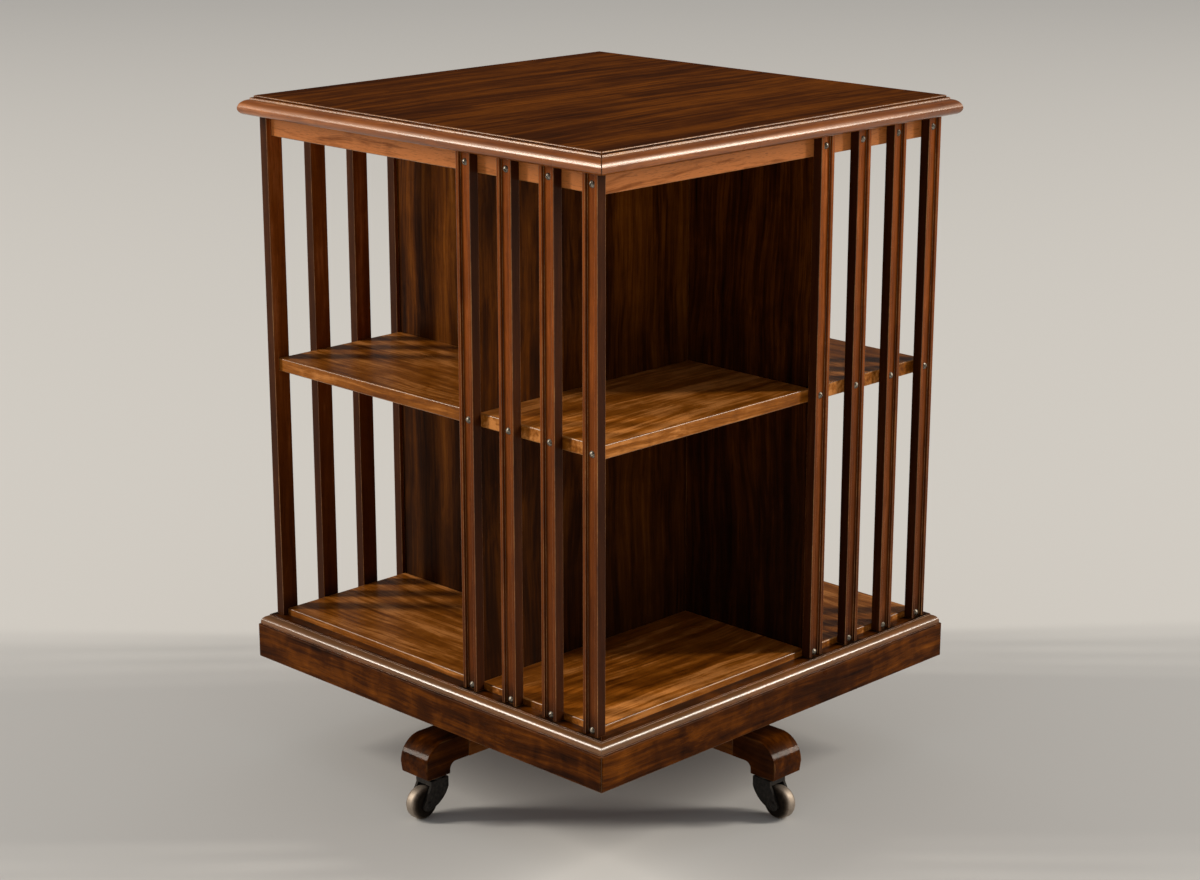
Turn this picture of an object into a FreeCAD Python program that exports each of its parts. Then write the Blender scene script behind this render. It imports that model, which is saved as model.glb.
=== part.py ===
"""Revolving bookcase: a two-tier case of eight bays that turns on a post in a cross-shaped stand.

The origin is on the floor under the post, +Z is up and lengths are in millimetres. The case repeats
four times round the post, so each sub-part is modelled for the face that looks along +X and its
copies are turned by quarter turns. Seen from outside, a face has its open bay on the left and its
slats on the right.
"""
import FreeCAD, Part
import math
import os
import Sketcher
from FreeCAD import Placement, Rotation, Vector

# Driving dimensions: alias, value, meaning
DIMENSIONS = (
    ("height", 762.0, "floor to the top board's upper face"),
    ("top_width", 558.6, "across the nose of the top moulding"),
    ("top_overhang", 25.8, "nose of the top moulding beyond the shelves' edges"),
    ("core_width", 125.2, "hollow core between opposite partitions"),
    ("top_thickness", 22.0, "top board"),
    ("shelf_thickness", 15.0, "shelf between the tiers"),
    ("floor_thickness", 15.0, "floor panel of the lower tier"),
    ("base_thickness", 15.0, "hidden board under the floor panels"),
    ("partition_thickness", 13.0, "upright partition"),
    ("rail_thickness", 13.0, "rail under the top board"),
    ("rail_depth", 22.5, "rail, top to bottom"),
    ("plinth_clearance", 115.0, "floor to the underside of the plinth moulding"),
    ("plinth_depth", 50.5, "underside of the plinth moulding to its ledge"),
    ("floor_rise", 7.5, "ledge to the upper face of the floor panels"),
    ("lower_bay_height", 280.5, "clear height of a lower bay"),
    ("moulding_width", 13.3, "top moulding beyond the top board"),
    ("moulding_ledge", 3.2, "flat step of the top moulding, beside the board's edge"),
    ("thumb_rise", 9.4, "upper curve of the top moulding, top to bottom"),
    ("thumb_radius", 9.8, "upper curve of the top moulding"),
    ("nose_radius", 6.8, "lower curve of the top moulding"),
    ("nose_lift", 1.0, "nose's lowest point above the board's underside"),
    ("ledge_width", 14.8, "ledge that the slats stand on"),
    ("quirk_depth", 1.8, "step under the ledge's edge"),
    ("ovolo_radius", 7.5, "quarter round of the plinth moulding"),
    ("fascia_step", 2.2, "step between the quarter round and the fascia"),
    ("plinth_width", 25.1, "plinth moulding, back to fascia"),
    ("arris_radius", 1.6, "softened edges of the fascia"),
    ("corner_radius", 4.0, "rounded upright corners of the fascia"),
    ("slat_width", 20.8, "slat across the face"),
    ("slat_thickness", 11.5, "slat, back to front"),
    ("channel_width", 12.8, "channel in the slat's front"),
    ("channel_depth", 3.3, "channel in the slat's front"),
    ("corner_lap", 6.0, "corner slat beyond the frame's corner"),
    ("screw_shank", 3.2, "slat screw's shank diameter"),
    ("screw_head", 7.5, "slat screw's head diameter"),
    ("screw_dome", 2.2, "height of the slat screw's round head"),
    ("screw_length", 18.0, "slat screw under its head"),
    ("screw_rise", 4.5, "lowest screw above the ledge"),
    ("pivot_block_thickness", 30.0, "block under the top board"),
    ("pivot_depth", 25.0, "bore in the pivot block"),
    ("post_end_gap", 2.0, "post's end to the bottom of its bore"),
    ("post_diameter", 22.0, "post above its collar"),
    ("running_play", 0.05, "radial clearance of everything that turns"),
    ("fit_play", 0.05, "radial clearance of round pieces fixed in a hole"),
    ("bush_wall", 6.0, "wall of the floor bush"),
    ("bush_flange_width", 70.0, "flange of the floor bush, across"),
    ("bush_flange_thickness", 3.0, "flange of the floor bush"),
    ("collar_width", 60.0, "thrust collar of the post, across"),
    ("collar_thickness", 6.0, "thrust collar of the post"),
    ("boss_width", 44.0, "post between its collar and its foot, across"),
    ("foot_flange_width", 100.0, "foot flange of the post, across"),
    ("foot_flange_thickness", 8.0, "foot flange of the post"),
    ("stretcher_width", 44.0, "stretcher and leg, across"),
    ("stretcher_thickness", 28.0, "stretcher, top to bottom"),
    ("stretcher_top", 91.5, "floor to the stretcher's upper face"),
    ("tenon_length", 20.0, "tenon of the stretcher in the leg"),
    ("tenon_thickness", 12.0, "tenon, top to bottom"),
    ("tenon_width", 30.0, "tenon, across"),
    ("leg_projection", 33.5, "leg's outermost point beyond the shelves' edges"),
    ("leg_depth", 62.0, "leg's outermost point to the stretcher's shoulder"),
    ("knee_radius", 28.0, "round shoulder of the leg"),
    ("leg_set_in", 2.0, "leg's foot inside its outermost point"),
    ("leg_foot_depth", 33.0, "leg's foot, from front to back"),
    ("leg_cove_radius", 8.0, "hollow behind the leg's foot"),
    ("castor_height", 51.0, "floor to the leg's underside"),
    ("castor_inset", 27.0, "leg's outermost point to the castor's swivel axis"),
    ("castor_trail", 16.0, "swivel axis to axle"),
    ("wheel_diameter", 36.8, "castor wheel"),
    ("wheel_width", 18.0, "castor wheel"),
    ("wheel_edge_radius", 7.0, "round edges of the castor wheel"),
    ("wheel_side_play", 0.5, "wheel to cheek"),
    ("well_play", 2.0, "wheel to the hollow of the horn"),
    ("cheek_thickness", 3.0, "cheek of the horn"),
    ("horn_width", 25.0, "crown of the horn, from front to back"),
    ("horn_curve_radius", 34.0, "hollow-ground back of the horn"),
    ("horn_back_drop", 11.0, "upright part of the horn's back"),
    ("horn_front_drop", 6.0, "upright part of the horn's front"),
    ("axle_boss_radius", 7.5, "round end of a cheek"),
    ("axle_diameter", 5.0, "axle of the castor wheel"),
    ("rivet_width", 8.0, "riveted head of the axle, across"),
    ("rivet_height", 1.2, "riveted head of the axle"),
    ("swivel_disc_width", 24.0, "disc on top of the horn, across"),
    ("swivel_disc_thickness", 7.0, "disc on top of the horn"),
    ("stem_diameter", 8.0, "stem of the horn"),
    ("stem_length", 25.0, "stem of the horn inside the leg"),
    ("stem_end_gap", 2.0, "stem's end to the bottom of its hole"),
    ("overrun", 2.0, "how far a cut runs past the face it starts from"),
)

SLATS_PER_FACE = 4
FACES = ("right", "back", "left", "front")
QUARTER_TURN = 90.0
UPRIGHT = Rotation()
ALONG_X = Rotation(Vector(0, 1, 0), QUARTER_TURN)
ALONG_Y = Rotation(Vector(1, 0, 0), -QUARTER_TURN)
# Where the horn's back runs into the round end of its cheek, from the axle's centre
BOSS_TOUCH_SHARES = (-0.6, -0.8)
# How far the middle of a rounded corner lies inside the sharp corner, each way
ROUND_CORNER_SHARE = 1 - math.sqrt(1 / 2)

doc = FreeCAD.newDocument("revolving_bookcase")
parts = []


class Size:
    """A length that knows its value and the sheet expression that gives it."""

    def __init__(self, value, text):
        self.value = value
        self.text = text

    @staticmethod
    def of(other):
        return other if isinstance(other, Size) else Size(float(other), repr(float(other)))

    def joined(self, other, sign, value):
        return Size(value, "(" + self.text + " " + sign + " " + other.text + ")")

    def __add__(self, other):
        other = Size.of(other)
        return self.joined(other, "+", self.value + other.value)

    def __sub__(self, other):
        other = Size.of(other)
        return self.joined(other, "-", self.value - other.value)

    def __mul__(self, other):
        other = Size.of(other)
        return self.joined(other, "*", self.value * other.value)

    def __truediv__(self, other):
        other = Size.of(other)
        return self.joined(other, "/", self.value / other.value)

    def __neg__(self):
        return Size(-self.value, "(0 - " + self.text + ")")


class Sizes:
    """The driving dimensions by name, with the places that several sub-parts share."""

    def __init__(self):
        sheet = doc.addObject("Spreadsheet::Sheet", "Sizes")
        for row, (alias, value, meaning) in enumerate(DIMENSIONS, start=1):
            sheet.set("A" + str(row), alias)
            sheet.set("B" + str(row), str(value))
            sheet.set("C" + str(row), meaning)
            sheet.setAlias("B" + str(row), alias)
            setattr(self, alias, Size(value, "Sizes." + alias))
        self.top_half = self.top_width / 2
        self.frame = self.top_half - self.top_overhang
        self.core = self.core_width / 2
        self.partition_back = self.core + self.partition_thickness
        self.board_half = self.top_half - self.moulding_width
        self.under_top = self.height - self.top_thickness
        self.under_rail = self.under_top - self.rail_depth
        self.ledge = self.plinth_clearance + self.plinth_depth
        self.floor_top = self.ledge + self.floor_rise
        self.floor_under = self.floor_top - self.floor_thickness
        self.base_under = self.floor_under - self.base_thickness
        self.shelf_under = self.floor_top + self.lower_bay_height
        self.slat_front = self.frame + self.slat_thickness
        self.channel_floor = self.slat_front - self.channel_depth
        self.first_slat = self.core + self.partition_thickness / 2
        self.corner_slat = self.frame + self.corner_lap - self.slat_width / 2
        self.slat_pitch = (self.corner_slat - self.first_slat) / (SLATS_PER_FACE - 1)
        self.slat_places = [self.first_slat + self.slat_pitch * i for i in range(SLATS_PER_FACE)]
        self.foot_screw = self.ledge + self.screw_rise
        self.shelf_screw = self.shelf_under + self.shelf_thickness / 2
        self.rail_screw = self.under_rail + self.rail_depth / 2
        self.screw_hole = self.screw_shank / 2 + self.fit_play
        self.screw_depth = self.screw_length + self.fit_play - (self.channel_floor - self.frame)
        self.thrust_face = self.base_under - self.bush_flange_thickness
        self.leg_reach = self.frame + self.leg_projection
        self.stretcher_reach = self.leg_reach - self.leg_depth
        self.stretcher_under = self.stretcher_top - self.stretcher_thickness
        self.castor_place = self.leg_reach - self.castor_inset
        self.wheel_radius = self.wheel_diameter / 2
        self.disc_under = self.castor_height - self.swivel_disc_thickness


def bind(thing, name, size):
    """Ties one property of an object to the sheet."""
    thing.setExpression(name, Size.of(size).text)


def place(thing, spot=(0, 0, 0), turn=UPRIGHT):
    """Puts an object at a spot given in sizes, turned as told."""
    spot = [Size.of(part) for part in spot]
    thing.Placement = Placement(Vector(*(part.value for part in spot)), turn)
    for axis, part in zip("xyz", spot):
        if part.value != 0:
            bind(thing, "Placement.Base." + axis, part)
    return thing


def quarter(index):
    """The turn from the face along +X to the face with this index."""
    return Rotation(Vector(0, 0, 1), QUARTER_TURN * index)


def turned(spot_x, spot_y, index):
    """A place on the +X face carried round to the face with this index."""
    for _ in range(index):
        spot_x, spot_y = -Size.of(spot_y), spot_x
    return spot_x, spot_y


def keep(thing, name):
    """Names a finished sub-part and lists it for writing."""
    thing.Label = name
    parts.append(thing)
    return thing


def box(name, low, high):
    """A box between two corners given in sizes."""
    low = [Size.of(part) for part in low]
    high = [Size.of(part) for part in high]
    solid = doc.addObject("Part::Box", name)
    for side, start, end in zip(("Length", "Width", "Height"), low, high):
        setattr(solid, side, end.value - start.value)
        bind(solid, side, end - start)
    return place(solid, low)


def cylinder(name, radius, length, spot, turn=UPRIGHT):
    """A cylinder that starts at a spot and runs along its own axis."""
    solid = doc.addObject("Part::Cylinder", name)
    bind(solid, "Radius", radius)
    bind(solid, "Height", length)
    return place(solid, spot, turn)


def fuse(name, shapes):
    solid = doc.addObject("Part::MultiFuse", name)
    solid.Shapes = shapes
    return solid


def cut(name, base, tools):
    """The base less one tool or several."""
    solid = doc.addObject("Part::Cut", name)
    solid.Base = base
    solid.Tool = tools[0] if len(tools) == 1 else fuse(name + "_cuts", tools)
    return solid


def arc_between(start, end, radius, centre_left):
    """An arc from start to end with its centre on the left or right of the way between them."""
    chord = end - start
    rise = math.sqrt(max(radius ** 2 - (chord.Length / 2) ** 2, 0))
    side = Vector(-chord.y, chord.x, 0).normalize() * (rise if centre_left else -rise)
    centre = (start + end) / 2 + side
    angles = [math.atan2(point.y - centre.y, point.x - centre.x) for point in (start, end)]
    first, last = angles if centre_left else reversed(angles)
    if last <= first:
        last += 2 * math.pi
    return Part.ArcOfCircle(Part.Circle(centre, Vector(0, 0, 1), radius), first, last)


def outline(body, name, plane_role, corners):
    """A closed sketch. A corner is (across, up), or (across, up, radius, side of the centre) where an
    arc leads from it to the next corner."""
    sketch = body.newObject("Sketcher::SketchObject", name)
    plane = next(item for item in body.Origin.OriginFeatures if item.Role == plane_role)
    sketch.AttachmentSupport = [(plane, "")]
    sketch.MapMode = "FlatFace"
    corners = [(Size.of(corner[0]), Size.of(corner[1])) + tuple(corner[2:]) for corner in corners]
    starts = []
    for corner, after in zip(corners, corners[1:] + corners[:1]):
        start = Vector(corner[0].value, corner[1].value, 0)
        end = Vector(after[0].value, after[1].value, 0)
        if len(corner) > 2:
            centre_left = corner[3] == "left"
            edge = sketch.addGeometry(arc_between(start, end, corner[2].value, centre_left), False)
            fixed = sketch.addConstraint(Sketcher.Constraint("Radius", edge, corner[2].value))
            bind(sketch, "Constraints[" + str(fixed) + "]", corner[2])
            starts.append((edge, 1 if centre_left else 2))
        else:
            edge = sketch.addGeometry(Part.LineSegment(start, end), False)
            starts.append((edge, 1))
    for index, (edge, first) in enumerate(starts):
        follower, joint = starts[(index + 1) % len(starts)]
        sketch.addConstraint(Sketcher.Constraint("Coincident", edge, 3 - first, follower, joint))
        for kind, size in zip(("DistanceX", "DistanceY"), corners[index]):
            fixed = sketch.addConstraint(Sketcher.Constraint(kind, -1, 1, edge, first, size.value))
            bind(sketch, "Constraints[" + str(fixed) + "]", size)
    return sketch


def padded(name, plane_role, corners, length, both_ways=False):
    """A body whose outline is padded, to one side or to both."""
    body = doc.addObject("PartDesign::Body", name)
    sketch = outline(body, name + "_outline", plane_role, corners)
    pad = body.newObject("PartDesign::Pad", name + "_pad")
    pad.Profile = sketch
    pad.Midplane = both_ways
    bind(pad, "Length", length)
    body.Tip = pad
    return body


def revolved(name, plane_role, corners):
    """A body turned on the upright axis of its outline."""
    body = doc.addObject("PartDesign::Body", name)
    sketch = outline(body, name + "_outline", plane_role, corners)
    turning = body.newObject("PartDesign::Revolution", name + "_turning")
    turning.Profile = sketch
    turning.ReferenceAxis = (sketch, ["V_Axis"])
    turning.Angle = 4 * QUARTER_TURN
    body.Tip = turning
    return body


def mitred(name, size, reach, low, high, corners, rounding=None):
    """A moulding length: its section padded along the face, then cut to 45 degrees at both ends, with
    its outer corners rounded if a radius is given."""
    body = padded(name + "_length", "XZ_Plane", corners, reach * 2 + size.overrun * 2, True)
    far = reach + size.overrun
    plan = ((0, 0), (far, -far), (far, far))
    if rounding:
        middle = reach - rounding * ROUND_CORNER_SHARE
        side = reach - rounding
        plan = ((0, 0), (middle, -middle, rounding, "left"), (reach, -side), (reach, side, rounding, "left"),
                (middle, middle))
    prism = padded(name + "_mitre", "XY_Plane", plan, high - low)
    place(prism, (0, 0, low))
    mitre = doc.addObject("Part::Common", name)
    mitre.Base = body
    mitre.Tool = prism
    return mitre


def top_board(size):
    half = size.board_half
    keep(box("top_board", (-half, -half, size.under_top), (half, half, size.height)), "top_board")


def top_moulding(size, index):
    """Two small steps down from the board, the second in the moulding, above a full round edge."""
    name = "top_moulding_" + FACES[index]
    inner = size.board_half
    nose = size.top_half - size.nose_radius
    nose_under = size.under_top + size.nose_lift
    brow = nose_under + size.nose_radius
    thumb_top = brow + size.thumb_rise
    step = inner + size.moulding_ledge
    ledge = (size.height + thumb_top) / 2
    corners = (
        (inner, size.under_top),
        (nose, nose_under, size.nose_radius, "left"),
        (size.top_half, brow, size.thumb_radius, "left"),
        (step, thumb_top),
        (step, ledge),
        (inner, ledge),
    )
    length = mitred(name, size, size.top_half, size.under_top, size.height, corners)
    keep(place(length, turn=quarter(index)), name)


def plinth_moulding(size, index):
    """Ledge, quirk, quarter round and plain fascia with softened edges."""
    name = "plinth_moulding_" + FACES[index]
    inner = size.frame
    lip = inner + size.ledge_width
    round_top = size.ledge - size.quirk_depth
    round_foot = round_top - size.ovolo_radius
    round_out = lip + size.ovolo_radius
    fascia = inner + size.plinth_width
    fascia_top = round_foot - size.fascia_step
    soft = size.arris_radius
    low = size.plinth_clearance
    corners = (
        (inner, low),
        (fascia - soft, low, soft, "left"),
        (fascia, low + soft),
        (fascia, fascia_top - soft, soft, "left"),
        (fascia - soft, fascia_top),
        (round_out, fascia_top),
        (round_out, round_foot, size.ovolo_radius, "left"),
        (lip, round_top),
        (lip, size.ledge),
        (inner, size.ledge),
    )
    length = mitred(name, size, fascia, low, size.ledge, corners, size.corner_radius)
    keep(place(length, turn=quarter(index)), name)


def face_hole(name, size, across, level):
    """A screw hole that runs in from the frame's +X face."""
    spot = (size.frame - size.screw_depth, across, level)
    return cylinder(name, size.screw_hole, size.screw_depth + size.overrun, spot, ALONG_X)


def side_hole(name, size, along, level):
    """A screw hole that runs in from the frame's -Y face."""
    spot = (along, -(size.frame + size.overrun), level)
    return cylinder(name, size.screw_hole, size.screw_depth + size.overrun, spot, ALONG_Y)


def top_rail(size, index):
    """One end butts against the next rail, the other end takes the corner slat's screw."""
    name = "top_rail_" + FACES[index]
    low = (size.frame - size.rail_thickness, -size.frame, size.under_rail)
    high = (size.frame, size.frame - size.rail_thickness, size.under_top)
    holes = [face_hole(name + "_hole", size, spot, size.rail_screw) for spot in size.slat_places[:-1]]
    holes.append(side_hole(name + "_end_hole", size, size.corner_slat, size.rail_screw))
    rail = cut(name, box(name + "_bar", low, high), holes)
    keep(place(rail, turn=quarter(index)), name)


def partition(size, index):
    """A full-height panel behind the first slat, notched for the rail and butted on the next one."""
    name = "partition_" + FACES[index]
    low = (-size.core, size.core, size.floor_under)
    high = (size.frame, size.partition_back, size.under_top)
    notch_low = (size.frame - size.rail_thickness, size.core - size.overrun, size.under_rail)
    notch_high = (
        size.frame + size.overrun, size.partition_back + size.overrun, size.under_top + size.overrun)
    tools = [box(name + "_notch", notch_low, notch_high)]
    for level in (size.foot_screw, size.shelf_screw):
        tools.append(face_hole(name + "_hole", size, size.first_slat, level))
    panel = cut(name, box(name + "_panel", low, high), tools)
    keep(place(panel, turn=quarter(index)), name)


def bay_board(name, size, index, under, thickness, screw_level):
    """A board that fills one bay of the pinwheel, screwed through the slats at its closed end."""
    low = (size.partition_back, -size.frame, under)
    high = (size.frame, size.core, under + thickness)
    holes = [side_hole(name + "_hole", size, spot, screw_level) for spot in size.slat_places[1:]]
    board = cut(name, box(name + "_board", low, high), holes)
    keep(place(board, turn=quarter(index)), name)


def base_board(size):
    """The hidden square board, bored for the bush."""
    half = size.frame
    board = box("base_board_square", (-half, -half, size.base_under), (half, half, size.floor_under))
    radius = size.post_diameter / 2 + size.running_play + size.bush_wall + size.fit_play
    spot = (0, 0, size.base_under - size.overrun)
    bore = cylinder("base_board_bore", radius, size.base_thickness + size.overrun * 2, spot)
    keep(cut("base_board", board, [bore]), "base_board")


def slat(size, index, place_index):
    """A channelled lath that stands on the ledge, with three screw holes."""
    name = "slat_" + FACES[index] + "_" + str(place_index + 1)
    half = size.slat_width / 2
    channel = size.channel_width / 2
    corners = (
        (size.frame, -half),
        (size.slat_front, -half),
        (size.slat_front, -channel),
        (size.channel_floor, -channel),
        (size.channel_floor, channel),
        (size.slat_front, channel),
        (size.slat_front, half),
        (size.frame, half),
    )
    lath = padded(name + "_lath", "XY_Plane", corners, size.under_top - size.ledge)
    place(lath, (0, 0, size.ledge))
    holes = []
    for level in (size.foot_screw, size.shelf_screw, size.rail_screw):
        spot = (size.frame - size.overrun, 0, level)
        length = size.slat_thickness + size.overrun * 2
        holes.append(cylinder(name + "_hole", size.screw_hole, length, spot, ALONG_X))
    drilled = cut(name, lath, holes)
    spot_x, spot_y = turned(0, size.slat_places[place_index], index)
    keep(place(drilled, (spot_x, spot_y, 0), quarter(index)), name)


def slat_screws(size):
    """Round-headed screws, seated on the floor of each slat's channel."""
    head = size.screw_head.value / 2
    dome = size.screw_dome.value
    shank = size.screw_shank.value / 2
    length = size.screw_length.value
    ball = (head ** 2 + dome ** 2) / (2 * dome)
    half_dome = math.asin(head / ball) / 2
    crest = Vector(dome - ball + ball * math.cos(half_dome), ball * math.sin(half_dome), 0)
    points = [Vector(0, head, 0), Vector(0, shank, 0), Vector(-length, shank, 0), Vector(-length, 0, 0)]
    tip = Vector(dome, 0, 0)
    edges = [Part.makeLine(first, last) for first, last in zip(points, points[1:])]
    edges.append(Part.makeLine(points[-1], tip))
    edges.append(Part.Arc(tip, crest, points[0]).toShape())
    screw = Part.Face(Part.Wire(edges)).revolve(Vector(0, 0, 0), Vector(1, 0, 0), 4 * QUARTER_TURN)
    copies = []
    for index in range(len(FACES)):
        for spot in size.slat_places:
            for level in (size.foot_screw, size.shelf_screw, size.rail_screw):
                copy = screw.copy()
                at_face = Placement(Vector(size.channel_floor.value, spot.value, level.value), UPRIGHT)
                copy.Placement = Placement(Vector(), quarter(index)) * at_face
                copies.append(copy)
    group = doc.addObject("Part::Feature", "slat_screws")
    group.Shape = Part.makeCompound(copies)
    keep(group, "slat_screws")


def pivot_block(size):
    """A block between the partitions that holds the post's upper end."""
    half = size.core
    under = size.under_top - size.pivot_block_thickness
    block = box("pivot_block_square", (-half, -half, under), (half, half, size.under_top))
    radius = size.post_diameter / 2 + size.running_play
    spot = (0, 0, under - size.overrun)
    bore = cylinder("pivot_block_bore", radius, size.pivot_depth + size.overrun, spot)
    keep(cut("pivot_block", block, [bore]), "pivot_block")


def floor_bush(size):
    """Flanged bush in the base board, resting on the post's collar."""
    bore = size.post_diameter / 2 + size.running_play
    wall = bore + size.bush_wall
    flange = size.bush_flange_width / 2
    corners = (
        (bore, size.thrust_face),
        (flange, size.thrust_face),
        (flange, size.base_under),
        (wall, size.base_under),
        (wall, size.floor_under),
        (bore, size.floor_under),
    )
    keep(revolved("floor_bush", "XZ_Plane", corners), "floor_bush")


def spindle(size):
    """The fixed post: foot flange, boss, thrust collar and long journal."""
    collar_under = size.thrust_face - size.collar_thickness
    flange_top = size.stretcher_top + size.foot_flange_thickness
    post_top = size.under_top - size.pivot_block_thickness + size.pivot_depth - size.post_end_gap
    corners = (
        (0, size.stretcher_top),
        (size.foot_flange_width / 2, size.stretcher_top),
        (size.foot_flange_width / 2, flange_top),
        (size.boss_width / 2, flange_top),
        (size.boss_width / 2, collar_under),
        (size.collar_width / 2, collar_under),
        (size.collar_width / 2, size.thrust_face),
        (size.post_diameter / 2, size.thrust_face),
        (size.post_diameter / 2, post_top),
        (0, post_top),
    )
    keep(revolved("spindle", "XZ_Plane", corners), "spindle")


def stretcher(size, index, name):
    """One bar of the cross: half-lapped in the middle, with a tenon at each end."""
    wide = size.stretcher_width / 2
    middle = size.stretcher_under + size.stretcher_thickness / 2
    reach = size.stretcher_reach
    tenon_half = size.tenon_thickness / 2
    tenon_wide = size.tenon_width / 2
    end = reach + size.tenon_length
    bar = box(name + "_bar", (-reach, -wide, size.stretcher_under), (reach, wide, size.stretcher_top))
    tenon_low = (-end, -tenon_wide, middle - tenon_half)
    tenon = box(name + "_tenon", tenon_low, (end, tenon_wide, middle + tenon_half))
    over = wide + size.overrun
    if index == 0:
        lap_low = (-wide, -over, middle)
        lap_high = (wide, over, size.stretcher_top + size.overrun)
    else:
        lap_low = (-wide, -over, size.stretcher_under - size.overrun)
        lap_high = (wide, over, middle)
    lapped = cut(name, fuse(name + "_whole", [bar, tenon]), [box(name + "_lap", lap_low, lap_high)])
    keep(place(lapped, turn=quarter(index)), name)


def leg(size, index):
    """A knee: level where it meets the stretcher, round over the shoulder and down to the castor."""
    name = "leg_" + FACES[index]
    reach = size.leg_reach
    knee = size.knee_radius
    foot_front = reach - size.leg_set_in
    foot_back = foot_front - size.leg_foot_depth
    cove = size.leg_cove_radius
    under = size.stretcher_under
    corners = (
        (size.stretcher_reach, under),
        (foot_back - cove, under, cove, "right"),
        (foot_back, under - cove),
        (foot_back, size.castor_height),
        (foot_front, size.castor_height),
        (reach, size.stretcher_top - knee, knee, "left"),
        (reach - knee, size.stretcher_top),
        (size.stretcher_reach, size.stretcher_top),
    )
    knee_block = padded(name + "_block", "XZ_Plane", corners, size.stretcher_width, True)
    middle = under + size.stretcher_thickness / 2
    low = (size.stretcher_reach - size.overrun, -size.tenon_width / 2, middle - size.tenon_thickness / 2)
    high = (
        size.stretcher_reach + size.tenon_length, size.tenon_width / 2, middle + size.tenon_thickness / 2)
    mortise = box(name + "_mortise", low, high)
    stem_radius = size.stem_diameter / 2 + size.running_play
    stem_depth = size.stem_length + size.stem_end_gap + size.overrun
    spot = (size.castor_place, 0, size.castor_height - size.overrun)
    socket = cylinder(name + "_socket", stem_radius, stem_depth, spot)
    keep(place(cut(name, knee_block, [mortise, socket]), turn=quarter(index)), name)


def castor_horn(size, index):
    """Horn with its swivel disc, stem and riveted axle. Its own origin is under the swivel axis."""
    name = "castor_horn_" + FACES[index]
    boss = size.axle_boss_radius
    axle_x, axle_z = size.castor_trail, size.wheel_radius
    touch_x, touch_z = (boss * share for share in BOSS_TOUCH_SHARES)
    crown = size.horn_width / 2
    whole_width = size.wheel_width + size.wheel_side_play * 2 + size.cheek_thickness * 2
    corners = (
        (-crown, size.disc_under),
        (-crown, size.disc_under - size.horn_back_drop, size.horn_curve_radius, "left"),
        (axle_x + touch_x, axle_z + touch_z, boss, "left"),
        (axle_x + boss, axle_z),
        (crown, size.disc_under - size.horn_front_drop),
        (crown, size.disc_under),
    )
    cheeks = padded(name + "_cheeks", "XZ_Plane", corners, whole_width, True)
    disc = cylinder(name + "_disc", size.swivel_disc_width / 2, size.swivel_disc_thickness,
                    (0, 0, size.disc_under))
    stem_from = size.castor_height - size.swivel_disc_thickness / 2
    stem = cylinder(name + "_stem", size.stem_diameter / 2,
                    size.stem_length + size.swivel_disc_thickness / 2, (0, 0, stem_from))
    well_width = size.wheel_width + size.wheel_side_play * 2
    well = cylinder(name + "_well", size.wheel_radius + size.well_play, well_width,
                    (axle_x, -(well_width / 2), axle_z), ALONG_Y)
    hole = cylinder(name + "_hole", size.axle_diameter / 2 + size.fit_play, whole_width + size.overrun * 2,
                    (axle_x, -(whole_width / 2 + size.overrun), axle_z), ALONG_Y)
    horn = cut(name + "_horn", fuse(name + "_solid", [cheeks, disc, stem]), [well, hole])
    end = whole_width / 2
    tip = end + size.rivet_height
    axle = size.axle_diameter / 2
    rivet = size.rivet_width / 2
    pin = revolved(name + "_axle", "XY_Plane", (
        (0, -tip), (axle, -tip), (rivet, -end), (axle, -end),
        (axle, end), (rivet, end), (axle, tip), (0, tip)))
    place(pin, (axle_x, 0, axle_z))
    group = doc.addObject("Part::Compound", name)
    group.Links = [horn, pin]
    spot_x, spot_y = turned(size.castor_place, 0, index)
    keep(place(group, (spot_x, spot_y, 0), quarter(index)), name)


def castor_wheel(size, index):
    """A thick wheel with round edges, bored for its axle. Its own origin is its centre."""
    name = "castor_wheel_" + FACES[index]
    bore = size.axle_diameter / 2 + size.running_play
    half = size.wheel_width / 2
    edge = size.wheel_edge_radius
    rim = size.wheel_radius
    wheel = revolved(name, "XY_Plane", (
        (bore, -half),
        (rim - edge, -half, edge, "left"),
        (rim, edge - half),
        (rim, half - edge, edge, "left"),
        (rim - edge, half),
        (bore, half),
    ))
    spot_x, spot_y = turned(size.castor_place + size.castor_trail, 0, index)
    keep(place(wheel, (spot_x, spot_y, rim), quarter(index)), name)


def turning_case(size):
    """Everything that turns on the post."""
    top_board(size)
    base_board(size)
    pivot_block(size)
    floor_bush(size)
    slat_screws(size)
    for index, face in enumerate(FACES):
        top_moulding(size, index)
        top_rail(size, index)
        partition(size, index)
        bay_board("shelf_" + face, size, index, size.shelf_under, size.shelf_thickness, size.shelf_screw)
        bay_board("floor_panel_" + face, size, index, size.floor_under, size.floor_thickness,
                  size.foot_screw)
        plinth_moulding(size, index)
        for place_index in range(SLATS_PER_FACE):
            slat(size, index, place_index)


def standing_part(size):
    """The cross, its legs, the post and the castors."""
    spindle(size)
    stretcher(size, 0, "stretcher_long_way")
    stretcher(size, 1, "stretcher_cross_way")
    for index in range(len(FACES)):
        leg(size, index)
        castor_horn(size, index)
        castor_wheel(size, index)


def check():
    """Stops if an object failed, or if a sub-part isn't a whole solid."""
    for thing in doc.Objects:
        if "Invalid" in thing.State or "Error" in thing.State:
            raise RuntimeError("failed: " + thing.Label)
    for part in parts:
        shape = part.Shape
        if shape.isNull() or not shape.isValid() or not shape.Solids or shape.Volume <= 0:
            raise RuntimeError("no valid solid: " + part.Label)
        print(part.Label, "solids:", len(shape.Solids))


def write():
    os.makedirs("parts", exist_ok=True)
    for part in parts:
        part.Shape.exportStep("parts/" + part.Label + ".step")


sizes = Sizes()
doc.recompute()
turning_case(sizes)
standing_part(sizes)
doc.recompute()
check()
write()
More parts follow.
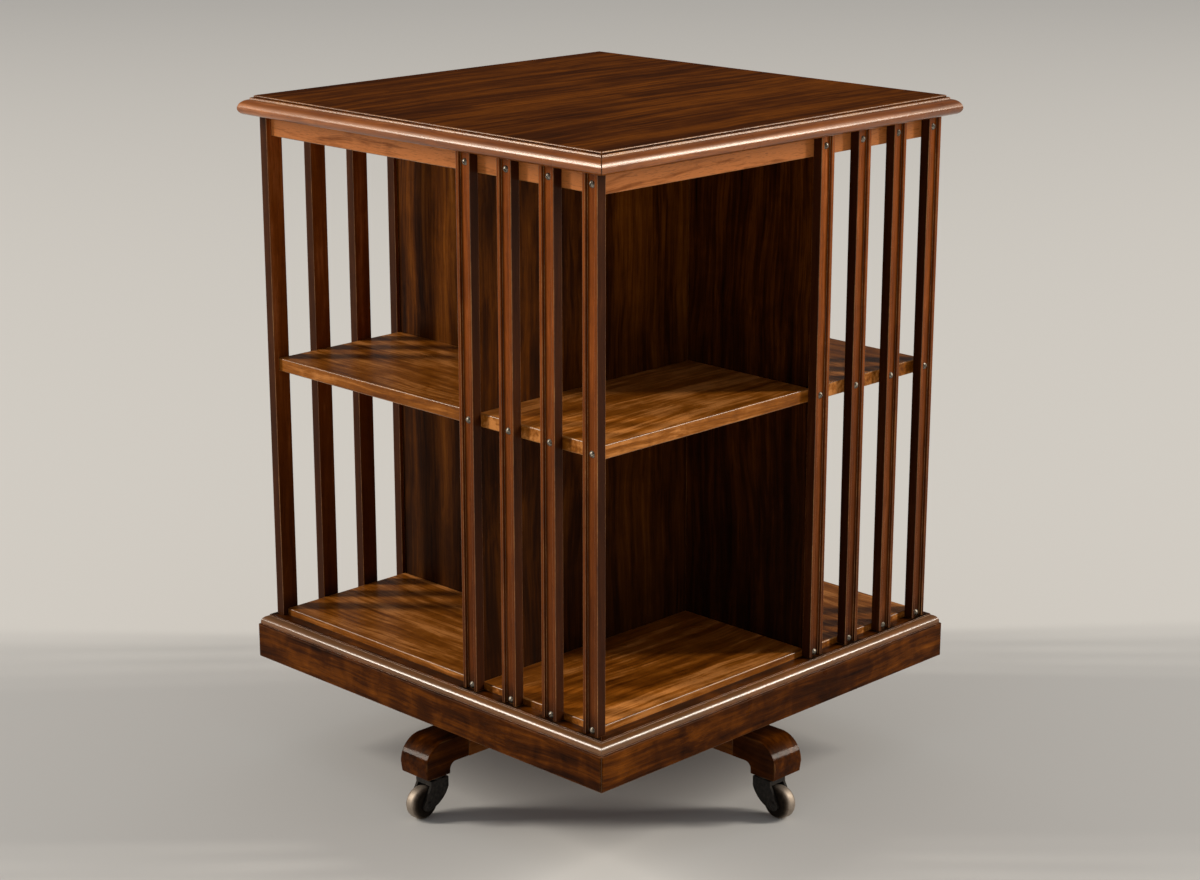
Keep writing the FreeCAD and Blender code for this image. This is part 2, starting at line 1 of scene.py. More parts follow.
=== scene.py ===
"""Looks of the revolving bookcase: polished mahogany, aged brass and dark iron on a pale studio floor."""
import math
import random

import bmesh
import bpy
from mathutils import Matrix, Vector


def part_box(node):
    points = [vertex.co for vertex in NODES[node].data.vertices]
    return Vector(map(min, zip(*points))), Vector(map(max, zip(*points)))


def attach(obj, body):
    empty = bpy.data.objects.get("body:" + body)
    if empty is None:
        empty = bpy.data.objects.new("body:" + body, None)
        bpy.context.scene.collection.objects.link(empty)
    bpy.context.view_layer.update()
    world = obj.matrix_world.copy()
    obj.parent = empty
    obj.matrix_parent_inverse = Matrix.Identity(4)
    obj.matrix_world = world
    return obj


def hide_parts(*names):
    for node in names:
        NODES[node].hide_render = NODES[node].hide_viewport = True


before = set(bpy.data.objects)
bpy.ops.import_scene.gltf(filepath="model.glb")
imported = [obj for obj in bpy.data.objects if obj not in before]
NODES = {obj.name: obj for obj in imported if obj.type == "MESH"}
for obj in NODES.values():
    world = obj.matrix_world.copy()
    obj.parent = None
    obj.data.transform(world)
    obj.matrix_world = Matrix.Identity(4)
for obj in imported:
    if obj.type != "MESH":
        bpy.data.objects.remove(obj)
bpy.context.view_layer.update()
FACES = ("right", "back", "left", "front")
SLATS = range(1, 5)
MM = 0.001
scene = bpy.context.scene

# Middle of the range of the noises, and the part of it that they mostly fill
MIDDLE = 0.5
CLOUD_RANGE = (0.3, 0.7)

# Mahogany from its darkest streak to its lightest
WOOD_STOPS = (
    (0.00, (0.0120, 0.0027, 0.0005)),
    (0.25, (0.0520, 0.0125, 0.0010)),
    (0.50, (0.1450, 0.0390, 0.0026)),
    (0.75, (0.2800, 0.0860, 0.0080)),
    (1.00, (0.5800, 0.2250, 0.0560)),
)
# Edges from the polish that is left on them to the pale wood under it, the paleness partly wear and partly
# painted highlight
ARRIS_STOPS = (
    (0.0, (0.070, 0.0180, 0.0020)),
    (0.5, (0.200, 0.0640, 0.0080)),
    (1.0, (0.440, 0.1900, 0.0480)),
)
# Golden gloss of the polish, and the redder boards of the log
POLISH = (1.0, 0.66, 0.45, 1.0)
RED_LOG = (1.0, 0.86, 0.90, 1.0)
REDDEST_LOG = (1.0, 0.77, 0.85, 1.0)
# Marks on the wood; the pale one is partly wear and partly painted highlight, the dark one partly dirt and
# partly painted shade
PORE = (0.020, 0.0065, 0.0025, 1.0)
RUBBED_AND_SHEEN = (0.40, 0.185, 0.065, 1.0)
DIRT_AND_SHADE = (0.010, 0.0045, 0.0025, 1.0)

# Sway of the grain: cycles per millimetre along and across it, and millimetres of sway
SWAYS = (
    (0.0016, 0.005, 46.0),
    (0.0100, 0.014, 12.0),
)
# Layers of the figure: cycles per millimetre along and across the grain, detail, roughness, distortion, weight
LAYERS = {
    "broad": (0.0013, 0.015, 2.0, 0.50, 0.0, 0.90),
    "ribbon": (0.0052, 0.078, 2.0, 0.55, 0.3, 0.95),
    "lines": (0.0085, 0.240, 3.0, 0.60, 0.0, 0.75),
    "hairs": (0.0300, 1.100, 2.0, 0.60, 0.0, 0.30),
}
MOTTLE_SCALE = (0.036, 0.030, 0.030)
PORE_SCALE = (0.11, 2.0, 2.0)
PORE_EDGE = (0.60, 0.72)
PORE_SHARE = 0.45
LINE_HEIGHT = 0.35

# Rubbed arrises, partly wear and partly painted highlight lines: millimetres from the edge at which the paling
# begins and is fullest, and its patches
WEAR_AND_HIGHLIGHT_REACH = (2.2, 0.2)
WEAR_AND_HIGHLIGHT_SCALE = (0.03, 0.05, 0.05)
WEAR_AND_HIGHLIGHT_PATCHES = (0.32, 0.60)
# Millimetres from a mitre at which its dirt begins and is fullest
MITRE_REACH = (1.4, 0.4)

# Roughness of the polish where it is clear and where it is hazy, and what the marks add to it
HAZE_SCALE = 0.011
POLISH_ROUGHNESS = (0.25, 0.37)
PORE_ROUGHNESS, WORN_ROUGHNESS, DIRT_ROUGHNESS = 0.12, 0.08, 0.25


class Net:
    """Adds shader nodes to a tree. An input is a value, or the output of another node."""

    def __init__(self, tree):
        self.tree = tree

    def feed(self, socket, value):
        if isinstance(value, bpy.types.NodeSocket):
            self.tree.links.new(value, socket)
        elif value is not None:
            socket.default_value = value

    def node(self, kind, inputs=(), **settings):
        made = self.tree.nodes.new("ShaderNode" + kind)
        for name, value in settings.items():
            setattr(made, name, value)
        for key, value in inputs.items() if isinstance(inputs, dict) else enumerate(inputs):
            self.feed(made.inputs[key], value)
        return made

    def out(self, kind, inputs=(), output=0, **settings):
        return self.node(kind, inputs, **settings).outputs[output]

    def math(self, operation, *inputs, clamp=False):
        return self.out("Math", inputs, operation=operation, use_clamp=clamp)

    def most(self, first, *others):
        for other in others:
            first = self.math("MAXIMUM", first, other)
        return first

    def times(self, first, second):
        return self.math("MULTIPLY", first, second)

    def away(self, value, middle):
        """Distance of a value from a middle."""
        return self.math("ABSOLUTE", self.math("SUBTRACT", value, middle))

    def vector(self, operation, *inputs, output=0):
        return self.out("VectorMath", inputs, output, operation=operation)

    def scaled(self, vector, scale):
        return self.vector("MULTIPLY", vector, scale)

    def joined(self, x, y, z):
        return self.out("CombineXYZ", (x, y, z))

    def length(self, vector):
        return self.vector("LENGTH", vector, output=1)

    def parts(self, vector):
        return self.node("SeparateXYZ", (vector,)).outputs

    def noise(self, vector, scale, detail=2.0, roughness=0.5, distortion=0.0, output=0):
        """Noise whose scale is cycles per millimetre along each axis of a vector in millimetres."""
        return self.out("TexNoise", {"Vector": self.scaled(vector, scale), "Scale": 1.0, "Detail": detail,
                                     "Roughness": roughness, "Distortion": distortion}, output)

    def even_noise(self, vector, scale, detail=2.0, roughness=0.5):
        return self.noise(vector, (scale, scale, scale), detail, roughness)

    def weighted(self, total, value, weight):
        """The total with a noise added to it, centred on zero."""
        return self.math("ADD", total, self.times(self.math("SUBTRACT", value, MIDDLE), weight))

    def span(self, value, low, high, to_low=0.0, to_high=1.0):
        """A value carried from one range to another and kept inside it."""
        return self.out("MapRange", (value, low, high, to_low, to_high), clamp=True)

    def smooth(self, value, low, high, to_low=0.0, to_high=1.0):
        return self.out("MapRange", (value, low, high, to_low, to_high), interpolation_type="SMOOTHSTEP")

    def mix(self, factor, first, second, blend="MIX"):
        made = self.tree.nodes.new("ShaderNodeMix")
        made.data_type = "RGBA"
        made.blend_type = blend
        for key, value in ((0, factor), (6, first), (7, second)):
            self.feed(made.inputs[key], value)
        return made.outputs[2]

    def ramp(self, value, stops):
        made = self.node("ValToRGB", (value,))
        points = made.color_ramp.elements
        while len(points) < len(stops):
            points.new(0.5)
        for point, (place, colour) in zip(points, stops):
            point.position = place
            point.color = (*colour, 1.0)
        return made.outputs[0]

    def bump(self, shader, strength, depth, height):
        """Lets a height bend the shader's normal. The depth is in millimetres."""
        lift = self.node("Bump", {"Strength": strength, "Distance": depth * MM, "Height": height})
        self.feed(shader["Normal"], lift.outputs[0])


def new_group(name, inputs, outputs):
    tree = bpy.data.node_groups.new(name, "ShaderNodeTree")
    for label, kind in inputs:
        tree.interface.new_socket(label, in_out="INPUT", socket_type="NodeSocket" + kind)
    for label, kind in outputs:
        tree.interface.new_socket(label, in_out="OUTPUT", socket_type="NodeSocket" + kind)
    return tree, tree.nodes.new("NodeGroupInput").outputs, tree.nodes.new("NodeGroupOutput").inputs


def blank(name):
    """A new material with its tree's helper and its shader's inputs."""
    material = bpy.data.materials.new(name)
    material.use_nodes = True
    return material, Net(material.node_tree), material.node_tree.nodes["Principled BSDF"].inputs


def in_millimetres(net):
    return net.scaled(net.out("TexCoord", output=3), (1 / MM, 1 / MM, 1 / MM))


def edge_distance(net, place, low, high):
    """Distance to the nearest edge of a box: the middle one of the distances to its three pairs of faces."""
    from_low, from_high = net.vector("SUBTRACT", place, low), net.vector("SUBTRACT", high, place)
    near = net.parts(net.vector("MINIMUM", from_low, from_high))
    least = net.math("MINIMUM", net.math("MINIMUM", near[0], near[1]), near[2])
    most = net.most(near[0], near[1], near[2])
    total = net.math("ADD", net.math("ADD", near[0], near[1]), near[2])
    return net.math("SUBTRACT", net.math("SUBTRACT", total, least), most)


def wood_group():
    """Mahogany: streaks along the grain (the vector's X, in millimetres), mottle across it, open pores,
    rubbed edges that are partly painted highlight, dark mitres, and a mask that each piece works out for itself,
    which is partly soiling and partly painted shade."""
    tree, given, made = new_group("mahogany", (
        ("Grain", "Vector"), ("Place", "Vector"), ("Low", "Vector"), ("High", "Vector"),
        ("Streak", "Float"), ("Mottle", "Float"), ("Tone", "Float"), ("Rubbed_and_highlit", "Float"), ("Mitre", "Float"),
        ("Soil_and_shade", "Float"),
    ), (("Colour", "Color"), ("Roughness", "Float"), ("Height", "Float")))
    net = Net(tree)
    grain = given["Grain"]
    bent = grain
    for along, across, sway in SWAYS:
        drift = net.noise(grain, (along, across, across), 1.0, output=1)
        drift = net.scaled(net.vector("SUBTRACT", drift, (MIDDLE, MIDDLE, MIDDLE)), (0.0, sway, sway))
        bent = net.vector("ADD", bent, drift)
    layers = {}
    figure = 0.0
    for name, (along, across, detail, roughness, distortion, weight) in LAYERS.items():
        layers[name] = net.noise(bent, (along, across, across), detail, roughness, distortion)
        figure = net.weighted(figure, layers[name], weight)
    mottle = net.noise(bent, MOTTLE_SCALE, 3.0, 0.55, 0.6)
    tone = net.math("ADD", given["Tone"], net.times(figure, given["Streak"]))
    tone = net.weighted(tone, mottle, given["Mottle"])
    colour = net.ramp(tone, WOOD_STOPS)
    # open pores, short dark dashes along the grain
    pores = net.smooth(net.noise(grain, PORE_SCALE, 1.0), *PORE_EDGE)
    colour = net.mix(net.times(pores, PORE_SHARE), colour, PORE)
    # rubbed arrises: paler near the box's edges, partly wear and partly painted highlight lines
    edge = edge_distance(net, given["Place"], given["Low"], given["High"])
    patches = net.noise(grain, WEAR_AND_HIGHLIGHT_SCALE, 3.0, 0.6)
    worn_and_highlit = net.times(net.smooth(edge, *WEAR_AND_HIGHLIGHT_REACH), net.smooth(patches, *WEAR_AND_HIGHLIGHT_PATCHES))
    worn_and_highlit = net.times(worn_and_highlit, given["Rubbed_and_highlit"])
    colour = net.mix(worn_and_highlit, colour, RUBBED_AND_SHEEN)
    # dirt held in the mitre joints, on the planes where the faces meet
    flat = net.parts(given["Place"])
    aside = net.math("SUBTRACT", net.math("ABSOLUTE", flat[0]), net.math("ABSOLUTE", flat[1]))
    joint = net.times(net.smooth(net.math("ABSOLUTE", aside), *MITRE_REACH), given["Mitre"])
    # each piece's own mask joins the mitres' dirt here: partly dirt and partly painted shade
    dirt_and_shade_mask = net.most(joint, given["Soil_and_shade"])
    colour = net.mix(dirt_and_shade_mask, colour, DIRT_AND_SHADE)
    # handled polish: clearer and duller areas
    haze = net.even_noise(given["Place"], HAZE_SCALE, 3.0, 0.55)
    rough = net.span(haze, *CLOUD_RANGE, *POLISH_ROUGHNESS)
    for value, more in ((pores, PORE_ROUGHNESS), (worn_and_highlit, WORN_ROUGHNESS), (dirt_and_shade_mask, DIRT_ROUGHNESS)):
        rough = net.math("ADD", rough, net.times(value, more))
    height = net.math("SUBTRACT", net.times(layers["lines"], LINE_HEIGHT), pores)
    for label, value in (("Colour", colour), ("Roughness", rough), ("Height", height)):
        tree.links.new(value, made[label])
    return tree


WOOD = wood_group()
GRAIN_ORDER = {"x": (0, 1, 2), "y": (1, 0, 2), "z": (2, 0, 1)}

# Places of the CAD's pieces that the materials and the screws follow
shelf_low, shelf_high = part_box("shelf_right")
rail_low, rail_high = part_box("top_rail_right")
slat_low, slat_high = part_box("slat_right_1")
screws_low, screws_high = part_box("slat_screws")

# Screw heads, in metres, their mesh, and the angle in degrees from which an edge of theirs is sharp
HEAD_RADIUS, HEAD_DOME, SLOT_WIDTH, SLOT_DEPTH = 3.75 * MM, 2.2 * MM, 1.0 * MM, 1.1 * MM
HEAD_RINGS, HEAD_SIDES = 7, 28
HEAD_EDGE = 35
SCREW_SEAT = screws_high.x - HEAD_DOME
FOOT_SCREW = screws_low.z + HEAD_RADIUS
SCREW_LEVELS = (FOOT_SCREW, (shelf_low.z + shelf_high.z) / 2, (rail_low.z + rail_high.z) / 2)

# Channels of the slats, and the ledge that the slats stand on with the ovolo under it, in millimetres
CHANNEL_HALF = 6.4
CHANNEL_DEEP = (slat_high.x - SCREW_SEAT) / MM
CHANNEL_FLOOR = SCREW_SEAT / MM
LEDGE = slat_low.z / MM
OVOLO = (LEDGE - 10.0, LEDGE - 1.3)

# Painted shade, at the channels' ends and on the ledge partly dirt too: the millimetres at which it begins and
# is fullest, then its least and its most
CORNER_SHADE = (2.2, 0.5, 0.0, 0.8)
CHANNEL_END_SHADE_AND_DIRT = (16.0, 2.0, 0.0, 0.85)
SLAT_FOOT_SHADE = (60.0, 4.0, 0.0, 0.85)
SLAT_SIDE_SHADE = (1.0, 0.3, 0.0, 0.85)
SLAT_FRONT_SHADE = 0.6
BAY_SHADE_STRENGTH = 0.65
LEDGE_SHADE_AND_DIRT = (21.0, 12.0)
LEDGE_DEPTH = (2.5, 0.5)
LEDGE_SCALE = 0.09
LEDGE_PATCHES = (0.3, 0.6, 0.6, 1.0)

# Each piece's place in the log, in millimetres, and the drift of its tone
LOG_REACH = 4000.0
TONE_DRIFT = 0.03
PORE_DEPTH = 0.25
POLISH_IOR = 1.5
# Millimetres over which the gloss of a polished round begins and ends, and how much it is lightened: partly
# rubbed wear and partly painted sheen
ROUND_BEGIN, ROUND_END = 1.0, 0.5
ROUND_RUB_AND_SHEEN = 0.3


def ways(k):
    """The axes across face k and out of it, as indices. Face k looks along +X turned k quarters."""
    return (1, 0) if k % 2 == 0 else (0, 1)


def box_in_millimetres(node):
    low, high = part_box(node)
    return low / MM, high / MM


def slat_shade_and_dirt(net, place, node, k):
    """Painted shade in the corners of a slat's channel, over the slat's foot, on its sides and, less and less
    upwards, on its front; at the foot of the channel the darkening is partly soiling and partly painted shade."""
    low, high = box_in_millimetres(node)
    axes = net.parts(place)
    across, out = ways(k)
    aside = net.away(axes[across], (low[across] + high[across]) / 2)
    wall = net.math("SUBTRACT", aside, CHANNEL_HALF)
    floor = net.math("SUBTRACT", net.math("ABSOLUTE", axes[out]), CHANNEL_FLOOR)
    corner = net.length(net.joined(wall, floor, 0.0))
    inside = net.math("LESS_THAN", net.math("ABSOLUTE", floor), CHANNEL_DEEP)
    corners = net.times(net.smooth(corner, *CORNER_SHADE), inside)
    within = net.times(net.math("LESS_THAN", aside, CHANNEL_HALF), inside)
    begin, full, least, most = CHANNEL_END_SHADE_AND_DIRT
    end = net.times(net.smooth(axes[2], low.z + begin, low.z + full, least, most), within)
    begin, full, least, most = SLAT_FOOT_SHADE
    foot = net.smooth(axes[2], low.z + begin, low.z + full, least, most)
    half = (high[across] - low[across]) / 2
    begin, full, least, most = SLAT_SIDE_SHADE
    sides = net.smooth(aside, half - begin, half - full, least, most)
    front = net.smooth(axes[2], high.z, low.z, 0.0, SLAT_FRONT_SHADE)
    return net.most(corners, end, foot, sides, front)


def bay_shade(net, place, node, _):
    """Painted shade: the wood of the bays darker towards the floor, where less light reaches."""
    low, high = box_in_millimetres(node)
    return net.smooth(net.parts(place)[2], high.z, low.z, 0.0, BAY_SHADE_STRENGTH)


def ledge_dirt_and_shade(net, place, _, k):
    """Darker round the feet of the slats, on the ledge that they stand on: partly soiling that the duster misses
    and partly painted shadow of the slats.
    """
    axes = net.parts(place)
    across = ways(k)[0]
    found = 0.0
    for i in SLATS:
        low, high = box_in_millimetres("slat_%s_%d" % (FACES[k], i))
        aside = net.away(axes[across], (low[across] + high[across]) / 2)
        found = net.most(found, net.smooth(aside, *LEDGE_SHADE_AND_DIRT))
    patches = net.even_noise(place, LEDGE_SCALE)
    found = net.times(found, net.smooth(patches, *LEDGE_PATCHES))
    return net.times(found, net.smooth(axes[2], LEDGE - LEDGE_DEPTH[0], LEDGE - LEDGE_DEPTH[1]))


def wood(node, grain, seed, k=0, name=None, streak=1.0, mottle=0.3, tone=0.5, rub_and_highlight=0.5, mitre=0.0, coat=0.3,
         coat_roughness=0.12, specular=0.12, pitch=1.0, pores=0.16, red=None, shade_and_soil=None, rounds=None):
    """A mahogany of its own for one node of face k: its grain, its place in the log and its edges. A tone can be
    given for each face in turn. Rounds are the levels between which the piece is polished round and bright, the
    brightness of their colour partly rubbed wear and partly painted sheen."""
    material, net, shader = blank(name or "wood_" + node)
    place = in_millimetres(net)
    axes = net.parts(place)
    along = net.joined(*(axes[i] for i in GRAIN_ORDER[grain]))
    pick = random.Random(seed)
    log = tuple(pick.uniform(-LOG_REACH, LOG_REACH) for _ in range(3))
    if isinstance(tone, tuple):
        tone = tone[k]
    low, high = box_in_millimetres(node)
    figure = net.node("Group")
    figure.node_tree = WOOD
    for label, value in (
            ("Grain", net.vector("ADD", net.scaled(along, (pitch, pitch, pitch)), log)), ("Place", place),
            ("Low", low), ("High", high), ("Streak", streak), ("Mottle", mottle),
            ("Tone", tone + pick.uniform(-TONE_DRIFT, TONE_DRIFT)), ("Rubbed_and_highlit", rub_and_highlight), ("Mitre", mitre)):
        net.feed(figure.inputs[label], value)
    # the piece's mask of darkening, partly dirt and partly painted shade, where it has one
    if shade_and_soil is not None:
        net.feed(figure.inputs["Soil_and_shade"], shade_and_soil(net, place, node, k))
    colour = figure.outputs["Colour"]
    if red is not None:
        colour = net.mix(1.0, colour, red, "MULTIPLY")
    shader["Coat Weight"].default_value = coat
    if rounds is not None:
        above = net.smooth(axes[2], rounds[0] - ROUND_BEGIN, rounds[0])
        band = net.times(above, net.smooth(axes[2], rounds[1] + ROUND_END, rounds[1]))
        # painted sheen on the round, partly wear: its colour lightened towards the pale rubbed colour
        colour = net.mix(net.times(band, ROUND_RUB_AND_SHEEN), colour, RUBBED_AND_SHEEN)
        net.feed(shader["Coat Weight"], net.times(band, coat))
    net.feed(shader["Base Color"], colour)
    net.feed(shader["Roughness"], figure.outputs["Roughness"])
    net.bump(shader, pores, PORE_DEPTH, figure.outputs["Height"])
    shader["Specular IOR Level"].default_value = specular
    shader["Specular Tint"].default_value = POLISH
    shader["Coat Roughness"].default_value = coat_roughness
    shader["Coat IOR"].default_value = POLISH_IOR
    return material


# Softened edges: patches of wear and painted highlight, and fine scratches, in cycles per millimetre
PATCH_SCALE, SCRATCH_SCALE, SCRATCH_WEIGHT = 0.022, 0.35, 0.4
ARRIS_RANGE = (0.25, 0.75)
ARRIS_ROUGHNESS, ARRIS_COAT_ROUGHNESS = (0.24, 0.32), 0.28
SCRATCH_BUMP, SCRATCH_DEPTH = 0.03, 0.2


def arris_wood(name, gloss, darker=0.0):
    """Rounded edges, rubbed pale in patches and glossier than the faces; the pale colour is partly painted
    highlight.
    """
    material, net, shader = blank(name)
    place = in_millimetres(net)
    patches = net.even_noise(place, PATCH_SCALE, 3.0, 0.55)
    scratches = net.even_noise(place, SCRATCH_SCALE, 2.0, 0.6)
    tone = net.weighted(patches, scratches, SCRATCH_WEIGHT)
    worn_and_highlit = net.span(tone, ARRIS_RANGE[0] + darker, ARRIS_RANGE[1] + darker)
    net.feed(shader["Base Color"], net.ramp(worn_and_highlit, ARRIS_STOPS))
    net.feed(shader["Roughness"], net.span(tone, *CLOUD_RANGE, *ARRIS_ROUGHNESS))
    net.bump(shader, SCRATCH_BUMP, SCRATCH_DEPTH, scratches)
    shader["Specular IOR Level"].default_value = gloss / 2
    shader["Specular Tint"].default_value = POLISH
    shader["Coat Weight"].default_value = gloss
    shader["Coat Roughness"].default_value = ARRIS_COAT_ROUGHNESS
    return material


# Metals: pits in cycles per millimetre and their depth in millimetres
PIT_SCALE, PIT_DEPTH = 1.6, 0.4


def metal(name, stops, roughness, metallic, bump=0.15, scale=0.25):
    """Aged metal: mottled tone and gloss, with fine pits. Its clouds' scale is cycles per millimetre."""
    material, net, shader = blank(name)
    place = in_millimetres(net)
    cloud = net.even_noise(place, scale, 5.0, 0.62)
    pits = net.even_noise(place, PIT_SCALE)
    net.feed(shader["Base Color"], net.ramp(net.span(cloud, *CLOUD_RANGE), stops))
    net.feed(shader["Roughness"], net.span(cloud, *CLOUD_RANGE, roughness[1], roughness[0]))
    net.bump(shader, bump, PIT_DEPTH, pits)
    shader["Metallic"].default_value = metallic
    return material


WHEEL_STOPS = (
    (0.0, (0.020, 0.014, 0.010)),
    (0.4, (0.075, 0.055, 0.040)),
    (0.8, (0.240, 0.190, 0.150)),
    (1.0, (0.380, 0.320, 0.265)),
)
# Millimetres from the axle between which the dark side turns into the rubbed tread, and how fast the tread's
# edge turns dark towards the sides. The dark sides are partly patina and partly painted shade.
TREAD = (9.0, 15.5)
TREAD_SLOPE = -0.55
WHEEL_CLOUD_SCALE, WHEEL_CLOUD_WEIGHT = 0.16, 0.55
WHEEL_RING_SCALE, WHEEL_RING_WEIGHT = 1.1, 0.25
WHEEL_PIT_SCALE, WHEEL_PIT_BUMP = 0.9, 0.12
WHEEL_GLOSS = (0.2, 1.0, 0.75, 0.56)
WHEEL_METALLIC = 0.85


def wheel_metal(node, k):
    """Brass of one castor wheel: tread rubbed pale by rolling, sides and axle hole dark with age and with
    painted shade.
    """
    material, net, shader = blank("wheel_brass_" + FACES[k])
    low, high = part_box(node)
    middle = (low + high) / 2 / MM
    place = net.vector("SUBTRACT", in_millimetres(net), tuple(middle))
    axes = net.parts(place)
    axle, outward = ways(k)
    radius = net.length(net.joined(axes[outward], axes[2], 0.0))
    side = net.math("ABSOLUTE", axes[axle])
    cloud = net.even_noise(place, WHEEL_CLOUD_SCALE, 4.0, 0.6)
    rings = net.noise(net.joined(radius, axes[axle], 0.0), (WHEEL_RING_SCALE, WHEEL_RING_SCALE, 0.0))
    tread = net.math("ADD", radius, net.times(side, TREAD_SLOPE))
    tread = net.weighted(net.span(tread, *TREAD), cloud, WHEEL_CLOUD_WEIGHT)
    tread = net.weighted(tread, rings, WHEEL_RING_WEIGHT)
    net.feed(shader["Base Color"], net.ramp(tread, WHEEL_STOPS))
    net.feed(shader["Roughness"], net.span(tread, *WHEEL_GLOSS))
    net.bump(shader, WHEEL_PIT_BUMP, PIT_DEPTH, net.even_noise(place, WHEEL_PIT_SCALE, 3.0, 0.6))
    shader["Metallic"].default_value = WHEEL_METALLIC
    return material


ARRIS = arris_wood("wood_arris", 0.75)
FINE_ARRIS = arris_wood("wood_fine_arris", 0.8, 0.08)
BRASS = metal("aged_brass", (
    (0.0, (0.075, 0.052, 0.032)),
    (0.5, (0.260, 0.200, 0.135)),
    (1.0, (0.460, 0.390, 0.290)),
), (0.30, 0.50), 0.9)
SCREW_BRASS = metal("screw_brass", (
    (0.0, (0.060, 0.052, 0.042)),
    (0.5, (0.220, 0.195, 0.160)),
    (1.0, (0.480, 0.440, 0.380)),
), (0.30, 0.50), 0.9, 0.1, 0.5)
IRON = metal("dark_iron", (
    (0.0, (0.010, 0.008, 0.007)),
    (0.6, (0.024, 0.020, 0.017)),
    (1.0, (0.055, 0.044, 0.034)),
), (0.40, 0.58), 0.5, 0.3)

# Softening of edges: points nearer than this are one, flats are merged up to this angle, and edges are sharp
# above this angle and long above this length. Lengths are in millimetres and angles in degrees.
SAME_POINT = 0.002
FLAT_ANGLE = 0.4
SHARP_ANGLE = 32.0
LONG_EDGE = 3.0


def geometry_group(name):
    tree = bpy.data.node_groups.new(name, "GeometryNodeTree")
    for way in ("INPUT", "OUTPUT"):
        tree.interface.new_socket("Geometry", in_out=way, socket_type="NodeSocketGeometry")
    return tree, tree.nodes.new("NodeGroupInput"), tree.nodes.new("NodeGroupOutput")


def clean_group():
    """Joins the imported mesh's split vertices and shades it smooth, so that its edges can be softened."""
    tree, given, made = geometry_group("joined")
    steps = [given]
    for name in ("custom_normal", "sharp_edge", "sharp_face"):
        step = tree.nodes.new("GeometryNodeRemoveAttribute")
        step.inputs["Name"].default_value = name
        steps.append(step)
    merge = tree.nodes.new("GeometryNodeMergeByDistance")
    merge.inputs["Distance"].default_value = SAME_POINT * MM
    steps += [merge, tree.nodes.new("GeometryNodeSetShadeSmooth"), made]
    for before, after in zip(steps, steps[1:]):
        tree.links.new(before.outputs[0], after.inputs[0])
    return tree


def long_edge_group():
    """Marks the long sharp edges for softening, and leaves out the rims of screw holes."""
    tree, given, made = geometry_group("long_edges")
    ends = tree.nodes.new("GeometryNodeInputMeshEdgeVertices")
    apart = tree.nodes.new("ShaderNodeVectorMath")
    apart.operation = "DISTANCE"
    tree.links.new(ends.outputs["Position 1"], apart.inputs[0])
    tree.links.new(ends.outputs["Position 2"], apart.inputs[1])
    bend = tree.nodes.new("GeometryNodeInputMeshEdgeAngle")
    both = tree.nodes.new("ShaderNodeMath")
    both.operation = "MULTIPLY"
    for i, (value, least) in enumerate((
            (apart.outputs["Value"], LONG_EDGE * MM), (bend.outputs[0], math.radians(SHARP_ANGLE)))):
        test = tree.nodes.new("ShaderNodeMath")
        test.operation = "GREATER_THAN"
        tree.links.new(value, test.inputs[0])
        test.inputs[1].default_value = least
        tree.links.new(test.outputs[0], both.inputs[i])
    store = tree.nodes.new("GeometryNodeStoreNamedAttribute")
    store.data_type, store.domain = "FLOAT", "EDGE"
    store.inputs["Name"].default_value = "bevel_weight_edge"
    tree.links.new(both.outputs[0], store.inputs["Value"])
    tree.links.new(given.outputs[0], store.inputs["Geometry"])
    tree.links.new(store.outputs["Geometry"], made.inputs[0])
    return tree


CLEAN = clean_group()
LONG_EDGES = long_edge_group()


def soften(thing, width, segments=2, edge=None, long_only=False):
    """Rounds a node's sharp edges by a hand-sanded width, given in millimetres, in a material of their own when
    one is given.
    """
    thing.modifiers.new("joined", "NODES").node_group = CLEAN
    flat = thing.modifiers.new("flat", "DECIMATE")
    flat.decimate_type = "DISSOLVE"
    flat.angle_limit = math.radians(FLAT_ANGLE)
    if long_only:
        thing.modifiers.new("long_edges", "NODES").node_group = LONG_EDGES
    bevel = thing.modifiers.new("arris", "BEVEL")
    bevel.width = width * MM
    bevel.segments = segments
    bevel.limit_method = "WEIGHT" if long_only else "ANGLE"
    bevel.angle_limit = math.radians(SHARP_ANGLE)
    bevel.use_clamp_overlap = True
    if edge is not None:
        thing.data.materials.append(edge)
        bevel.material = len(thing.data.materials) - 1
    shade = thing.modifiers.new("shade", "WEIGHTED_NORMAL")
    shade.keep_sharp = False
    shade.weight = 100


def dress(node, material, width=0.0, **more):
    thing = NODES[node]
    thing.data.materials.clear()
    thing.data.materials.append(material)
    if width:
        soften(thing, width, **more)


